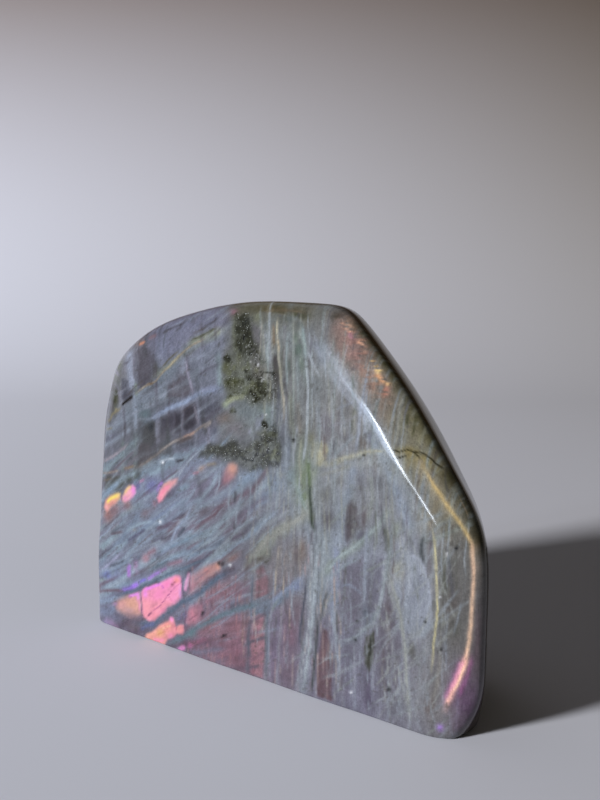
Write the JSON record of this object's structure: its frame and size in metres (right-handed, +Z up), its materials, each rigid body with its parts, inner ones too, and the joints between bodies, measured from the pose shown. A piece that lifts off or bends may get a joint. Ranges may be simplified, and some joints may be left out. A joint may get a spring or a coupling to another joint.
{
  "type": "polished labradorite freeform",
  "caption": "Polished labradorite freeform with a broad flashing face, beveled right edge and sloping shoulders, standing upright on a flat sawn base.",
  "frame": {"origin": "on the table plane, under the middle of the stone's bounding box", "axes": "+X along the broad face's width, -Y out of the broad polished face, +Z up"},
  "size_m": [0.1322, 0.0474, 0.0998],
  "materials": {
    "polished_labradorite": "hand-polished grey feldspar with pale streaks, tan veins, dark speckled inclusions and pink, orange and violet flashes"
  },
  "bodies": {
    "root": {"freeform_stone": "polished_labradorite"}
  },
  "joints": []
}
